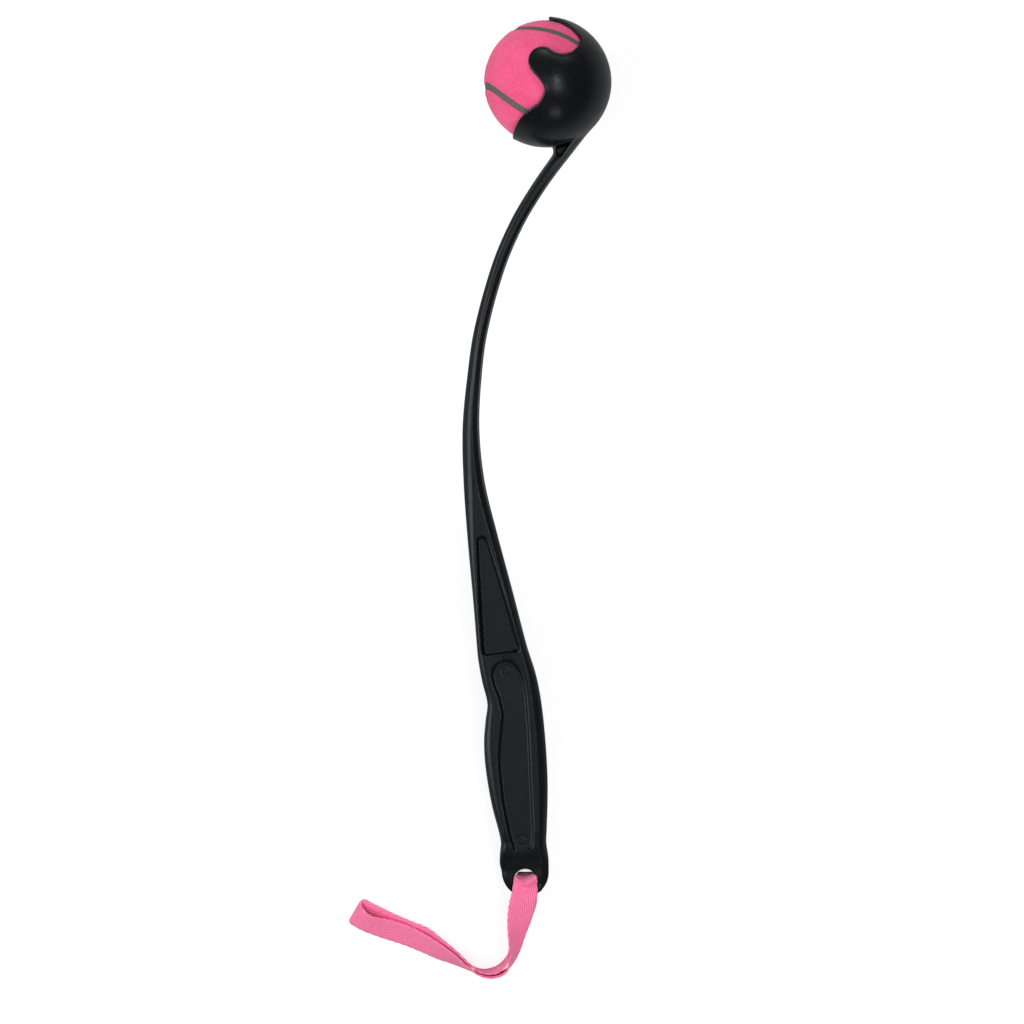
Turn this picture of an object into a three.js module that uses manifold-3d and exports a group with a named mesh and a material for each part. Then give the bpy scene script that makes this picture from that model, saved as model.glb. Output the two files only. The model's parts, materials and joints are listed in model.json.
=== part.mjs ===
// Dog ball thrower lying on its side: one moulded arm with a ball cup at one end and a grip at the
// other, a felt ball held in the cup, and a tape wrist loop through the eye at the end of the grip.
// Millimetres, +Z up. The arm's own frame has the ball's centre at zero, the grip along -Y, the
// bow of the arm towards -X and its mirror plane at z = 0.
import * as THREE from "three";
import { mergeVertices } from "three/addons/utils/BufferGeometryUtils.js";
import Module from "manifold-3d";

// Driving dimensions of the ball and of the cup that holds it
const ballDiameter = 63.8;
const ballClearance = 0.3;
const cupWall = 1.6;
const fittingGap = 0.3;
const overrun = 6;
const lipFlare = 0.5;

// Driving dimensions of the moulded arm
const reach = 408;
const bow = 38.7;
const armWidth = 7;
const gripWidth = 32;
const armDepth = 12;
const gripDepth = 20;
const bossRadius = 12.3;
const bossLength = 13.2;
const bossDepth = 11;
const eyeRadius = 6.2;
const eyeDrop = 4.5;
const webEdge = 3.6;
const webFillet = 1.6;
const webRim = 1.8;
const webFloor = 4;
const pocketDepth = 2.4;
const pocketDraft = 0.9;
const pocketCorner = 2;

// Driving dimensions of the ball's layers
const feltThickness = 2.6;
const coreWall = 3.3;
const seamWidth = 2.3;
const seamRecess = 0.6;

// Driving dimensions of the wrist tape
const tapeWidth = 14;
const tapeThickness = 1.3;

// How finely the round forms are cut into facets
const cupSteps = 48;
const feltSteps = 36;
const coreSteps = 24;
const rimSteps = 96;
const seamSteps = 72;
const armSteps = 54;
const bossSteps = 9;
const flankSteps = 5;
const cornerSteps = 4;
const tapeSteps = 123;
const capSteps = 8;

const degree = Math.PI / 180;
const ballRadius = ballDiameter / 2;
const cupInner = ballRadius + ballClearance;
const cupOuter = cupInner + cupWall;

// The way the ball leaves the cup, turned up from -X in the arm's plane
const mouthTurn = 18.4 * degree;
const mouthAxis = new THREE.Vector3(-Math.cos(mouthTurn), Math.sin(mouthTurn), 0);
const mouthUp = new THREE.Vector3(Math.sin(mouthTurn), Math.cos(mouthTurn), 0);
const mouthSide = new THREE.Vector3(0, 0, 1);

// The cup's wavy rim on one side, as degrees round the mouth axis from the upper finger and
// degrees down from that axis: a narrow upper finger, a deep bay, a side finger, a shallow bay
// and the lower lip
const rimDegrees = [
  [0, 74], [6.5, 74.6], [10, 78], [10, 84], [14.5, 90.2], [19.5, 97.3], [26, 104.6], [33, 107],
  [41, 106.3], [50, 102.4], [56, 95.6], [57.5, 88.5], [55.2, 81.6], [55, 75.8], [58.5, 70.2],
  [64.5, 67.2], [73, 67.6], [80.5, 73], [86.2, 82.5], [91.5, 88.6], [98, 90.1], [107, 88.2],
  [117, 82], [130, 77.3], [145, 75.9], [162, 76.6], [180, 77.6],
];
const rimHubShare = 0.16;
const lipReachShare = 0.5;

// The arm's middle line: share of the reach down from the ball, share of the bow to the side
const middleShares = [
  [0.055, -0.47], [0.096, -0.178], [0.134, 0.096], [0.178, 0.38], [0.233, 0.63],
  [0.314, 0.865], [0.376, 0.957], [0.44, 1], [0.508, 0.957], [0.577, 0.845],
  [0.655, 0.7], [0.718, 0.587], [0.781, 0.493], [0.837, 0.427], [0.908, 0.353],
  [0.971, 0.292], [1, 0.277], [1.05, 0.277],
];

// How far each side has swelled from the arm's half width to the grip's, along the same line
const bossSwell = (bossRadius - armWidth / 2) / (gripWidth / 2 - armWidth / 2);
const leftSwellShares = [
  [0.05, 0], [0.35, 0.005], [0.44, 0.045], [0.508, 0.16], [0.577, 0.35], [0.655, 0.57],
  [0.718, 0.755], [0.738, 0.76], [0.756, 0.73], [0.784, 0.64], [0.806, 0.8], [0.833, 0.96],
  [0.865, 1], [0.91, 0.9], [0.951, 0.685], [0.966, 0.66], [0.985, 0.71], [1, bossSwell],
];
const rightSwellShares = [
  [0.05, 0], [0.35, 0.005], [0.44, 0.045], [0.508, 0.16], [0.577, 0.35], [0.655, 0.57],
  [0.718, 0.75], [0.756, 0.955], [0.79, 1.03], [0.837, 1.03], [0.882, 0.97], [0.91, 0.89],
  [0.951, 0.72], [0.966, 0.66], [0.985, 0.705], [1, bossSwell],
];

// How far the section has deepened from the arm's depth to the grip's, then fallen to the boss's
const depthSwellShares = [[0.05, 0], [0.4, 0], [0.52, 0.3], [0.66, 0.85], [0.78, 1], [1.05, 1]];
const restShare = 0.945;
const bossFallShares = [[0.05, 0], [restShare, 0], [0.965, 0.35], [1, 1], [1.05, 1]];

// Each flank from the outline in to the flat face, as a share of that side's half width
const leftFlankShares = [
  [0.05, 0.5], [0.44, 0.56], [0.508, 0.52], [0.577, 0.34], [0.655, 0.22], [0.72, 0.2],
  [0.8, 0.32], [0.88, 0.3], [0.95, 0.2], [1.05, 0.26],
];
const rightFlankShares = [
  [0.05, 0.78], [0.44, 0.84], [0.508, 0.72], [0.577, 0.5], [0.655, 0.33], [0.72, 0.27],
  [0.8, 0.29], [0.9, 0.34], [0.96, 0.35], [1.05, 0.35],
];
const leftSideShare = 0.12;
const rightSideShare = 0.3;
const leftFlankPower = 1.9;
const rightFlankPower = 1.35;

// The two pockets in each face of the grip, round their outlines: share of the reach, and share
// of the grip's half width to the right of the middle line
const upperPocketShares = [[0.574, -0.22], [0.7226, -0.65], [0.718, 0.56], [0.574, 0.12]];
const lowerPocketShares = [
  [0.7303, 0.03], [0.7327, -0.22], [0.739, -0.41], [0.7472, -0.48], [0.7612, -0.455],
  [0.7763, -0.34], [0.793, -0.3], [0.8016, -0.3], [0.8193, -0.405], [0.837, -0.5],
  [0.8572, -0.57], [0.8825, -0.578], [0.9104, -0.57], [0.951, -0.44], [0.9736, -0.305],
  [0.9717, 0.305], [0.951, 0.365], [0.8825, 0.448], [0.8219, 0.54], [0.7814, 0.58],
  [0.76, 0.565], [0.7472, 0.5], [0.7364, 0.365], [0.7318, 0.22],
];

// The ball's seam on its round: the tennis seam's waist as a share, and how the ball is turned
const seamWaistShare = 0.24;
const ballTurn = new THREE.Euler(-92.1 * degree, -63 * degree, -34.3 * degree);

// The tape's middle line from the eye's centre in tape widths: x, y and its lift off the floor, then
// the way that its upper edge points in plan and how far that edge leans up, in degrees, and the
// share of its width that it spreads to
const tapeShares = [
  [0, -0.1, 0.86, 180, 0, 0.76], [0, -0.24, 1.02, 180, 0, 0.8], [-0.02, -0.45, 1.06, 178, 2, 0.94],
  [-0.1, -0.85, 0.8, 174, 14, 1], [-0.22, -1.4, 0.59, 166, 28, 1], [-0.33, -1.95, 0.34, 158, 46, 1],
  [-0.4, -2.5, 0.2, 150, 62, 1], [-0.51, -3, 0.1, 138, 78, 1], [-0.75, -3.39, 0.02, 118, 85, 1],
  [-1.2, -3.56, 0.01, 93, 88, 1], [-1.64, -3.49, 0.01, 62, 88, 1], [-2.1, -3.26, 0.01, 58, 83, 1],
  [-2.66, -2.92, 0.01, 62, 70, 1], [-3.14, -2.67, 0.01, 63, 58, 1], [-3.7, -2.36, 0.01, 65, 50, 1],
  [-4.4, -2.04, 0.01, 69, 44, 1], [-5.15, -1.8, 0.01, 70, 44, 1], [-5.75, -1.63, 0.01, 63, 51, 1],
  [-6.1, -1.42, 0.01, 58, 46, 1], [-6.27, -1.2, 0.01, 59, 33, 1], [-6.12, -1.07, 0.01, 61, 34, 1],
  [-5.76, -1.18, 0.01, 65, 46, 1], [-5.1, -1.51, 0.01, 68, 45, 1], [-4.35, -1.83, 0.01, 68, 45, 1],
  [-3.7, -2.07, 0.01, 66, 51, 1], [-3.2, -2.38, 0.01, 63, 60, 1], [-2.62, -2.73, 0.01, 62, 74, 1],
  [-2.06, -3.1, 0.01, 54, 87, 1], [-1.6, -3.32, 0.01, 75, 94, 1], [-1.2, -3.35, 0.01, 92, 99, 1],
  [-0.93, -3.22, 0.01, 112, 98, 1], [-0.75, -2.98, 0.01, 130, 94, 1],
  [-0.6, -2.58, 0.01, 148, 83, 1], [-0.46, -2.15, 0.01, 156, 66, 1],
  [-0.34, -1.75, 0.01, 162, 50, 1], [-0.2, -1.3, 0.01, 168, 32, 1],
  [-0.08, -0.9, 0.01, 174, 12, 0.98], [0, -0.5, 0.01, 180, 0, 0.9], [0, -0.26, 0.04, 180, 0, 0.73],
  [0, -0.12, 0.2, 180, 0, 0.73], [0, -0.05, 0.54, 180, 0, 0.76],
];

const plastic = new THREE.MeshStandardMaterial({ color: 0x1b1e20, roughness: 0.42, metalness: 0 });
const felt = new THREE.MeshStandardMaterial({ color: 0xfa6093, roughness: 0.95, metalness: 0 });
const rubber = new THREE.MeshStandardMaterial({ color: 0x4a4846, roughness: 0.8, metalness: 0 });
const glue = new THREE.MeshStandardMaterial({ color: 0x6b6762, roughness: 0.8, metalness: 0 });
const cotton = new THREE.MeshStandardMaterial({ color: 0xf8709f, roughness: 0.9, metalness: 0 });

const manifold = await Module();
manifold.setup();

// A closed geometry as a solid that can be joined and cut
function toSolid(geometry) {
  geometry.deleteAttribute("normal");
  geometry.deleteAttribute("uv");
  const merged = mergeVertices(geometry);
  return new manifold.Manifold(new manifold.Mesh({
    numProp: 3,
    vertProperties: new Float32Array(merged.attributes.position.array),
    triVerts: new Uint32Array(merged.index.array),
  }));
}

function toGeometry(solid) {
  const mesh = solid.getMesh();
  const geometry = new THREE.BufferGeometry();
  geometry.setAttribute("position", new THREE.BufferAttribute(mesh.vertProperties, 3));
  geometry.setIndex(new THREE.BufferAttribute(mesh.triVerts, 1));
  return geometry;
}

// A closed skin of points and faces, turned to face out whichever way its faces run
function skin(points, faces) {
  let volume = 0;
  for (const [a, b, c] of faces) {
    volume += points[a].dot(points[b].clone().cross(points[c]));
  }
  const outward = volume > 0 ? faces : faces.map(([a, b, c]) => [a, c, b]);
  const geometry = new THREE.BufferGeometry();
  const places = points.flatMap((point) => point.toArray());
  geometry.setAttribute("position", new THREE.Float32BufferAttribute(places, 3));
  geometry.setIndex(outward.flat());
  return geometry;
}

// Rings of points joined in order: closed on itself, or with a flat convex cap at each end
function loft(rings, closed) {
  const count = rings[0].length;
  const faces = [];
  const spans = closed ? rings.length : rings.length - 1;
  for (let ring = 0; ring < spans; ring += 1) {
    const near = ring * count;
    const far = ((ring + 1) % rings.length) * count;
    for (let step = 0; step < count; step += 1) {
      const next = (step + 1) % count;
      faces.push([near + step, near + next, far + next], [near + step, far + next, far + step]);
    }
  }
  const last = (rings.length - 1) * count;
  for (let step = 1; !closed && step < count - 1; step += 1) {
    faces.push([0, step + 1, step], [last, last + step, last + step + 1]);
  }
  return skin(rings.flat(), faces);
}

// A smooth curve through a table of places and values, read at one place
function follow(table, place) {
  const last = table.length - 1;
  const held = Math.min(Math.max(place, table[0][0]), table[last][0]);
  let at = 0;
  while (at < last - 1 && table[at + 1][0] < held) {
    at += 1;
  }
  const slope = (from, to) => (table[to][1] - table[from][1]) / (table[to][0] - table[from][0]);
  const span = table[at + 1][0] - table[at][0];
  const run = (held - table[at][0]) / span;
  const start = slope(Math.max(at - 1, 0), at + 1) * span;
  const end = slope(at, Math.min(at + 2, last)) * span;
  return table[at][1] * (1 + 2 * run) * (1 - run) ** 2 + start * run * (1 - run) ** 2
    + table[at + 1][1] * run ** 2 * (3 - 2 * run) - end * run ** 2 * (1 - run);
}

// The space inside a closed line of directions, as a cone from the centre out past the ball
function coneOver(directions, hub, far) {
  const points = [new THREE.Vector3()];
  for (let ring = 0; ring < capSteps; ring += 1) {
    for (const direction of directions) {
      const whole = new THREE.Quaternion().setFromUnitVectors(direction, hub);
      const part = new THREE.Quaternion().slerp(whole, ring / capSteps);
      points.push(direction.clone().applyQuaternion(part).multiplyScalar(far));
    }
  }
  points.push(hub.clone().multiplyScalar(far));
  const count = directions.length;
  const top = points.length - 1;
  const faces = [];
  for (let step = 0; step < count; step += 1) {
    const next = (step + 1) % count;
    faces.push([0, 1 + next, 1 + step], [top - count + step, top - count + next, top]);
    for (let ring = 0; ring < capSteps - 1; ring += 1) {
      const near = 1 + ring * count;
      const wide = near + count;
      faces.push([near + step, near + next, wide + next], [near + step, wide + next, wide + step]);
    }
  }
  return toSolid(skin(points, faces));
}

function sphere(radius, steps) {
  return toSolid(new THREE.SphereGeometry(radius, steps, steps / 2));
}

// A round bar along the mouth axis from the ball's centre out of the mouth
function mouthBar(radius, length) {
  const bar = new THREE.CylinderGeometry(radius, radius, length, cupSteps);
  bar.translate(0, length / 2, 0);
  bar.applyQuaternion(new THREE.Quaternion().setFromUnitVectors(new THREE.Vector3(0, 1, 0), mouthAxis));
  return toSolid(bar);
}

// A direction given in degrees round the mouth axis and down from it
function mouthDirection([around, down]) {
  return mouthAxis.clone().multiplyScalar(Math.cos(down * degree))
    .addScaledVector(mouthUp, Math.sin(down * degree) * Math.cos(around * degree))
    .addScaledVector(mouthSide, Math.sin(down * degree) * Math.sin(around * degree));
}

// The cup's rim as directions from the ball's centre, one side and its mirror image
function rimDirections() {
  const otherSide = rimDegrees.slice(1, -1).map(([around, down]) => [-around, down]).reverse();
  const stops = [...rimDegrees, ...otherSide].map(mouthDirection);
  const curve = new THREE.CatmullRomCurve3(stops, true, "centripetal");
  return curve.getSpacedPoints(rimSteps).slice(0, rimSteps).map((point) => point.normalize());
}

// The open cup: a round bowl that runs straight past the ball's widest ring, so that the ball can
// leave it, cut along the wavy rim
function cupShell() {
  const hub = mouthAxis.clone().addScaledVector(mouthUp, rimHubShare).normalize();
  const flare = sphere(cupOuter + lipFlare, cupSteps);
  const lip = mouthBar(cupOuter, cupOuter * lipReachShare).intersect(flare);
  const outer = sphere(cupOuter, cupSteps).add(lip);
  return outer.subtract(coneOver(rimDirections(), hub, cupOuter * 2));
}

function cupCavity() {
  return sphere(cupInner, cupSteps).add(mouthBar(cupInner, cupOuter * 2));
}

// The arm's middle line and the way across it to the right, at one share of the reach
function middleAt(share) {
  return new THREE.Vector3(-bow * follow(middleShares, share), -reach * share, 0);
}

function acrossAt(share) {
  const stepShare = 0.004;
  const along = middleAt(share + stepShare).sub(middleAt(share - stepShare)).normalize();
  return new THREE.Vector3(-along.y, along.x, 0);
}

function halfWidth(table, share) {
  return armWidth / 2 + (gripWidth - armWidth) / 2 * follow(table, share);
}

function halfDepth(share) {
  const grip = armDepth / 2 + (gripDepth - armDepth) / 2 * follow(depthSwellShares, share);
  return grip + (bossDepth / 2 - grip) * follow(bossFallShares, share);
}

// One flank from the outline up to the flat face, as a rounded slope
function flankPoints(width, flank, depth, sideShare, power) {
  const side = depth * sideShare;
  const points = [];
  for (let step = 0; step <= flankSteps; step += 1) {
    const angle = (step / flankSteps) * Math.PI / 2;
    points.push([
      width - flank + flank * Math.cos(angle) ** (2 / power),
      side + (depth - side) * Math.sin(angle) ** (2 / power),
    ]);
  }
  return points;
}

// The closed section of the arm or grip as a ring of points about its middle
function sectionRing(share, centre, across, left, right) {
  const depth = halfDepth(share);
  const leftFlank = left * follow(leftFlankShares, share);
  const rightFlank = right * follow(rightFlankShares, share);
  const top = [
    ...flankPoints(right, rightFlank, depth, rightSideShare, rightFlankPower),
    ...flankPoints(left, leftFlank, depth, leftSideShare, leftFlankPower)
      .map(([out, up]) => [-out, up]).reverse(),
  ];
  const bottom = top.map(([out, up]) => [out, -up]).reverse();
  return [...top, ...bottom]
    .map(([out, up]) => new THREE.Vector3(0, 0, up).addScaledVector(across, out).add(centre));
}

// The arm and grip in one sweep down to the round end boss
function armSolid() {
  const rings = [];
  const first = middleShares[0][0];
  for (let step = 0; step <= armSteps; step += 1) {
    const share = first + (1 - first) * (step / armSteps);
    const left = halfWidth(leftSwellShares, share);
    const right = halfWidth(rightSwellShares, share);
    rings.push(sectionRing(share, middleAt(share), acrossAt(share), left, right));
  }
  for (let step = 1; step < bossSteps; step += 1) {
    const angle = (step / bossSteps) * Math.PI / 2;
    const width = bossRadius * Math.cos(angle);
    const centre = middleAt(1).setY(-reach - bossLength * Math.sin(angle));
    rings.push(sectionRing(1, centre, new THREE.Vector3(1, 0, 0), width, width));
  }
  return toSolid(loft(rings, false));
}

// A flat outline raised by a depth about a centre
function plate(shape, depth, centre) {
  const geometry = new THREE.ExtrudeGeometry(shape, {
    depth, bevelEnabled: false, curveSegments: cornerSteps,
  });
  geometry.translate(centre.x, centre.y, centre.z - depth / 2);
  return toSolid(geometry);
}

// The web in the corner between cup and arm: a thin floor with a full-depth rim on its free edge
function webSolid() {
  const high = middleAt(middleShares[0][0]);
  const low = middleAt(middleShares[1][0]).addScaledVector(acrossAt(middleShares[1][0]), -armWidth / 4);
  const edge = -Math.sqrt(cupOuter ** 2 - webEdge ** 2);
  const shape = new THREE.Shape();
  shape.moveTo(high.x, high.y);
  shape.lineTo(webEdge - webFillet, edge + cupWall);
  shape.lineTo(webEdge - webFillet, edge);
  shape.quadraticCurveTo(webEdge, edge, webEdge, edge - webFillet);
  shape.lineTo(low.x, low.y);
  shape.closePath();
  const whole = plate(shape, armDepth, new THREE.Vector3());
  const lift = (webFloor + overrun + armDepth) / 2;
  const near = plate(shape, overrun + armDepth, new THREE.Vector3(webRim, 0, lift));
  const far = plate(shape, overrun + armDepth, new THREE.Vector3(webRim, 0, -lift));
  return whole.subtract(near).subtract(far);
}

// A pocket's outline in the arm's plane, with its corners rounded
function pocketOutline(shares) {
  const corners = shares.map(([share, out]) => (
    middleAt(share).addScaledVector(acrossAt(share), out * gripWidth / 2)
  ));
  const count = corners.length;
  const points = [];
  corners.forEach((corner, step) => {
    const arm = (other) => {
      const way = other.clone().sub(corner);
      return corner.clone().addScaledVector(way.clone().normalize(), Math.min(pocketCorner, way.length() / 2));
    };
    const start = arm(corners[(step + count - 1) % count]);
    const end = arm(corners[(step + 1) % count]);
    const round = new THREE.QuadraticBezierCurve3(start, corner, end);
    points.push(...round.getPoints(cornerSteps).slice(0, cornerSteps));
  });
  return points;
}

// The same outline drawn in by a distance, or let out where the distance is negative
function drawnIn(points, distance) {
  const count = points.length;
  return points.map((point, step) => {
    const along = points[(step + 1) % count].clone().sub(points[(step + count - 1) % count]).normalize();
    return point.clone().add(new THREE.Vector3(-along.y, along.x, 0).multiplyScalar(distance));
  });
}

// A pocket's hollow with sloping walls, for the face on one side of the mirror plane
function pocketPlug(shares, floor, side) {
  const outline = pocketOutline(shares);
  const low = drawnIn(outline, pocketDraft);
  const high = drawnIn(outline, -pocketDraft * overrun / pocketDepth);
  const top = floor + pocketDepth + overrun;
  const points = [
    ...low.map((point) => point.setZ(side * floor)),
    ...high.map((point) => point.setZ(side * top)),
  ];
  const count = outline.length;
  const faces = [];
  for (let step = 0; step < count; step += 1) {
    const next = (step + 1) % count;
    faces.push([step, next, count + next], [step, count + next, count + step]);
  }
  const flat = (ring) => THREE.ShapeUtils.triangulateShape(ring.map((p) => new THREE.Vector2(p.x, p.y)), []);
  for (const [a, b, c] of flat(low)) {
    faces.push([a, c, b]);
  }
  for (const [a, b, c] of flat(high)) {
    faces.push([count + a, count + b, count + c]);
  }
  return toSolid(skin(points, faces));
}

function eyeCentre() {
  return middleAt(1).setY(-reach - eyeDrop);
}

function eyeHole() {
  const hole = new THREE.CylinderGeometry(eyeRadius, eyeRadius, bossDepth + overrun, cupSteps / 2);
  hole.rotateX(Math.PI / 2);
  hole.translate(eyeCentre().x, eyeCentre().y, 0);
  return toSolid(hole);
}

const upperFloor = halfDepth(upperPocketShares[0][0]) - pocketDepth;
const lowerFloor = gripDepth / 2 - pocketDepth;

function bodySolid() {
  let body = cupShell().add(armSolid()).add(webSolid()).subtract(cupCavity());
  for (const side of [1, -1]) {
    body = body.subtract(pocketPlug(upperPocketShares, upperFloor, side));
    body = body.subtract(pocketPlug(lowerPocketShares, lowerFloor, side));
  }
  return body.subtract(eyeHole());
}

// The tennis seam as directions from the ball's centre, turned as the ball lies in the cup
function seamDirections() {
  const directions = [];
  const large = 1 - seamWaistShare;
  const rise = 2 * Math.sqrt(large * seamWaistShare);
  for (let step = 0; step < seamSteps; step += 1) {
    const turn = (step / seamSteps) * 2 * Math.PI;
    directions.push(new THREE.Vector3(
      large * Math.cos(turn) + seamWaistShare * Math.cos(3 * turn),
      large * Math.sin(turn) - seamWaistShare * Math.sin(3 * turn),
      rise * Math.sin(2 * turn),
    ).applyEuler(ballTurn).normalize());
  }
  return directions;
}

// A band of even width along the seam, between two distances from the ball's centre
function seamBand(width, low, high) {
  const line = seamDirections();
  return loft(line.map((direction, step) => {
    const ahead = line[(step + 1) % line.length];
    const behind = line[(step + line.length - 1) % line.length];
    const side = ahead.clone().sub(behind).cross(direction).normalize().multiplyScalar(width / 2);
    const outer = direction.clone().multiplyScalar(high);
    const inner = direction.clone().multiplyScalar(low);
    return [outer.clone().add(side), outer.clone().sub(side), inner.clone().sub(side), inner.clone().add(side)];
  }), true);
}

const feltInner = ballRadius - feltThickness;
const coreOuter = feltInner - fittingGap;
const ballPole = new THREE.Vector3(0, 0, 1).applyEuler(ballTurn);

function feltPanels() {
  const groove = toSolid(seamBand(seamWidth + 2 * fittingGap, feltInner - overrun, ballRadius + overrun));
  const coat = sphere(ballRadius, feltSteps).subtract(sphere(feltInner, coreSteps)).subtract(groove);
  const firstSide = coneOver(seamDirections(), ballPole, ballDiameter);
  return [coat.intersect(firstSide), coat.subtract(firstSide)];
}

// One open half of the hollow rubber core, its flat edge a little off the joint
function coreHalf(side) {
  const shell = sphere(coreOuter, coreSteps).subtract(sphere(coreOuter - coreWall, coreSteps));
  const block = new THREE.BoxGeometry(ballDiameter, ballDiameter, ballDiameter);
  block.translate(0, 0, side * (ballDiameter + fittingGap) / 2);
  block.applyQuaternion(new THREE.Quaternion().setFromUnitVectors(new THREE.Vector3(0, 0, 1), mouthUp));
  return shell.intersect(toSolid(block));
}

// Half of the tape's width at one stop, as the way from its middle to its upper edge
function tapeHalf([, , , heading, lean, share]) {
  return new THREE.Vector3(
    Math.cos(lean * degree) * Math.cos(heading * degree),
    Math.cos(lean * degree) * Math.sin(heading * degree),
    Math.sin(lean * degree),
  ).multiplyScalar(share * tapeWidth / 2);
}

// The middle of the tape at one stop: its lower edge rests on the floor, apart from its lift
function tapeMiddle(stop) {
  const [x, y, lift, , lean] = stop;
  const rest = tapeHalf(stop).z + Math.abs(Math.cos(lean * degree)) * tapeThickness / 2;
  return new THREE.Vector3(x * tapeWidth, y * tapeWidth, lift * tapeWidth + rest);
}

// The wrist tape as one endless band along its stops, standing on edge where it turns
function tapeGeometry() {
  const middle = new THREE.CatmullRomCurve3(tapeShares.map(tapeMiddle), true, "catmullrom");
  const edge = new THREE.CatmullRomCurve3(tapeShares.map(tapeHalf), true, "catmullrom");
  const rings = [];
  for (let step = 0; step < tapeSteps; step += 1) {
    const at = step / tapeSteps;
    const along = middle.getTangent(at);
    const half = edge.getPoint(at);
    const out = half.clone().cross(along).normalize().multiplyScalar(tapeThickness / 2);
    const centre = middle.getPoint(at);
    rings.push([
      centre.clone().add(half).add(out), centre.clone().sub(half).add(out),
      centre.clone().sub(half).sub(out), centre.clone().add(half).sub(out),
    ]);
  }
  return loft(rings, true);
}

function piece(name, geometry, material) {
  const mesh = new THREE.Mesh(geometry, material);
  mesh.name = name;
  return mesh;
}

// The arm tips until both the cup and the end of the grip's lower face touch the floor
const restReach = reach * restShare;
const restDepth = gripDepth / 2;
const tip = Math.asin(cupOuter / Math.hypot(restReach, restDepth)) - Math.atan2(restDepth, restReach);

const thrower = new THREE.Group();
thrower.position.set(0, 0, cupOuter);
thrower.rotation.x = tip;
const [firstPanel, secondPanel] = feltPanels();
thrower.add(
  piece("thrower_body", toGeometry(bodySolid()), plastic),
  piece("ball_core_half_a", toGeometry(coreHalf(1)), rubber),
  piece("ball_core_half_b", toGeometry(coreHalf(-1)), rubber),
  piece("ball_felt_panel_a", toGeometry(firstPanel), felt),
  piece("ball_felt_panel_b", toGeometry(secondPanel), felt),
  piece("ball_seam", seamBand(seamWidth, feltInner, ballRadius - seamRecess), glue),
);
thrower.updateMatrix();

const wristTape = piece("wrist_tape", tapeGeometry(), cotton);
wristTape.position.copy(eyeCentre().applyMatrix4(thrower.matrix)).setZ(0);

// The whole lies on the floor with the middle of its outline at the origin
const whole = new THREE.Group();
whole.add(thrower, wristTape);
const outline = new THREE.Box3().setFromObject(whole, true);
const middlePoint = outline.getCenter(new THREE.Vector3());
whole.position.set(-middlePoint.x, -middlePoint.y, -outline.min.z);

const dogBallThrower = new THREE.Group();
dogBallThrower.add(whole);

export default dogBallThrower;
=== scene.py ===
"""Dog ball thrower lying on its side on a white table, seen from straight above.

The moulding's looks are worked out from the same sections as the solid, in its own frame: the
ball's centre at zero, the grip along -Y, the mirror plane at z = 0. That frame works in
millimetres and is turned into the row frame, in metres, when a mesh is made.
"""
import json
import math

import bmesh
import bpy
import numpy as np
import openvdb
from mathutils import Euler, Matrix, Vector


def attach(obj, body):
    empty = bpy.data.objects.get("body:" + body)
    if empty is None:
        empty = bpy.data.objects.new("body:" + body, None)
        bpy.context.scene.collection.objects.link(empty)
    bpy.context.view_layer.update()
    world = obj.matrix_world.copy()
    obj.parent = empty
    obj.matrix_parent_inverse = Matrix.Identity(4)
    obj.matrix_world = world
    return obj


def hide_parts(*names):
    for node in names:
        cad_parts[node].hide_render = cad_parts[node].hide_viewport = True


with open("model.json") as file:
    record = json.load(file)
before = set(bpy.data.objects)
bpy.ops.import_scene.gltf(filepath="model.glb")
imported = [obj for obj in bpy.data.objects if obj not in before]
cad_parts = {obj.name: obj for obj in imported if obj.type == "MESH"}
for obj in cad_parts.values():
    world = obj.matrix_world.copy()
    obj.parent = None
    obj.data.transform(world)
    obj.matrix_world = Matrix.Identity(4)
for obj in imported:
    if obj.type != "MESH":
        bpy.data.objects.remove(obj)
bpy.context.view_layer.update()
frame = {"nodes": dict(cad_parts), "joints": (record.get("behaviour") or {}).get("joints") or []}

MM = 0.001
DEGREE = math.pi / 180

# The cup round the ball. Sizes are in millimetres unless a comment says otherwise.
BALL_RADIUS = 31.9
CUP_INNER = 32.2
CUP_OUTER = 33.8
CUP_LIP = 0.16
CUP_LIP_FROM_RIM = 1
CUP_LIP_WIDTH = 0.6
CUP_COVER = 0.4
RIM_REACH = 4
MOUTH_TURN = 18.4 * DEGREE
MOUTH_AXIS = np.array([-math.cos(MOUTH_TURN), math.sin(MOUTH_TURN), 0])
MOUTH_UP = np.array([math.sin(MOUTH_TURN), math.cos(MOUTH_TURN), 0])

# The arm, the grip and the boss at its end
REACH = 408
BOW = 38.7
ARM_WIDTH = 7.3
GRIP_WIDTH = 32
ARM_DEPTH = 12
ARM_RISE = 5
GRIP_DEPTH = 20
BOSS_RADIUS = 12.3
BOSS_LENGTH = 13.2
BOSS_DEPTH = 11
EYE_RADIUS = 5.9
EYE_DROP = 4.5
WEB_EDGE = 3.6
WEB_FLOOR = 4
WEB_INTO_CUP = 2
WEB_BELOW_CUP = 1
BEAD = 0.7
BEAD_WIDTH = 0.5
STRIP = 1.3
STRIP_TILT = 74 * DEGREE
STRIP_FOOT = 0.2
RIGHT_FLANK_POWER = 1.35

# The pockets in the grip, and the round ejector marks on the lower one's floor
POCKET_DEPTH = 2.4
POCKET_DRAFT = 1
UPPER_CORNER = 3.4
LOWER_CORNER = 2
MARK_RADIUS = 2.5
MARK_DEPTH = 0.16
MARK_LINE = 0.55
MARK_PLACES = [(0.745, 0.6), (0.9597, -0.6)]

# How far the moulding's corners are rounded or filled in
FINE_BLEND = 0.3
EDGE_BLEND = 0.4
CORNER_BLEND = 0.5
CREST_BLEND = 0.6
RIM_BLEND = 0.7
CUP_BLEND = 1.2
WEB_BLEND = 2.5

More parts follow.
